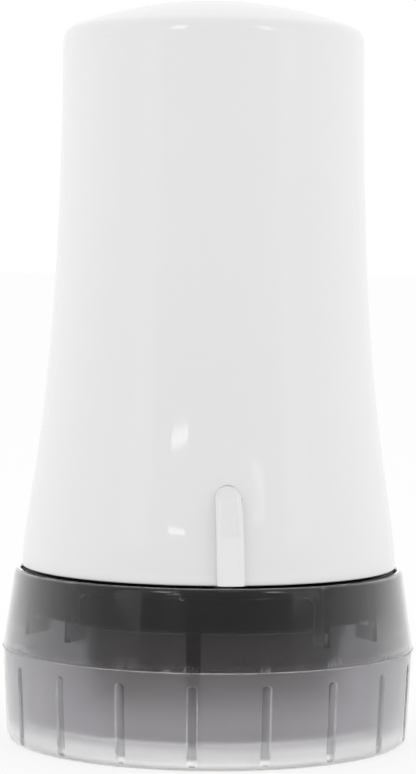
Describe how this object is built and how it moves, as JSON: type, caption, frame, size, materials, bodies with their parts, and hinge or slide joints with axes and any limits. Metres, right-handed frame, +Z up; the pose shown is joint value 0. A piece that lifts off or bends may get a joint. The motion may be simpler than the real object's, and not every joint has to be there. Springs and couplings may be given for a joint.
{
  "type": "privacy roller stamp",
  "caption": "Hand-held privacy roller stamp: a bell-shaped white housing over a sprung ink-roller cartridge, standing on a grooved see-through smoke cap.",
  "frame": {"origin": "middle of the cap's foot, on the surface that the stamp stands on", "axes": "+Z up the housing to its crown; -Y the front, with the release lever; +X to the right along the roller axles"},
  "size_m": [0.043, 0.043, 0.077],
  "materials": {
    "white_plastic": "gloss",
    "black_plastic": "satin",
    "grey_plastic": "satin",
    "smoke_plastic": "see-through gloss",
    "steel": "bright",
    "stamp_rubber": "matte",
    "ink_foam": "wet open-cell foam"
  },
  "bodies": {
    "handle": {"housing_shell": "white_plastic", "chassis_ring": "black_plastic", "lever_pin": "steel", "lever_spring": "steel", "cartridge_frame": "grey_plastic", "cartridge_side_plate": "grey_plastic", "stamp_axle": "steel", "axle_clip_left": "steel", "axle_clip_right": "steel", "ink_axle": "steel", "ink_spring_left": "steel", "ink_spring_right": "steel"},
    "lever": {"release_lever": "white_plastic"},
    "stamp_roller": {"drum_core": "grey_plastic", "drum_end_cap_left": "grey_plastic", "drum_end_cap_right": "grey_plastic", "die_sleeve": "stamp_rubber"},
    "ink_roller": {"ink_core": "grey_plastic", "ink_sleeve": "ink_foam"},
    "cap": {"cap": "smoke_plastic"}
  },
  "joints": [
    {"name": "cap_slide", "type": "slide", "parent": "handle", "child": "cap", "axis": [0, 0, -1], "range_m": [0, 0.022]},
    {"name": "release_lever_press", "type": "hinge", "parent": "handle", "child": "lever", "pos_m": [0, -0.0153, 0.0245], "axis": [1, 0, 0], "range_deg": [0, 3.5], "stiffness_Nm_per_rad": 0.05, "springref_deg": -2.86},
    {"name": "stamp_roller_spin", "type": "hinge", "parent": "handle", "child": "stamp_roller", "pos_m": [0, 0, 0.0122], "axis": [1, 0, 0], "continuous": true},
    {"name": "ink_roller_spin", "type": "hinge", "parent": "handle", "child": "ink_roller", "pos_m": [0, 0, 0.0257], "axis": [1, 0, 0], "continuous": true}
  ],
  "couplings": [
    {"joint": "ink_roller_spin", "follows": "stamp_roller_spin", "ratio": -1.8696}
  ]
}
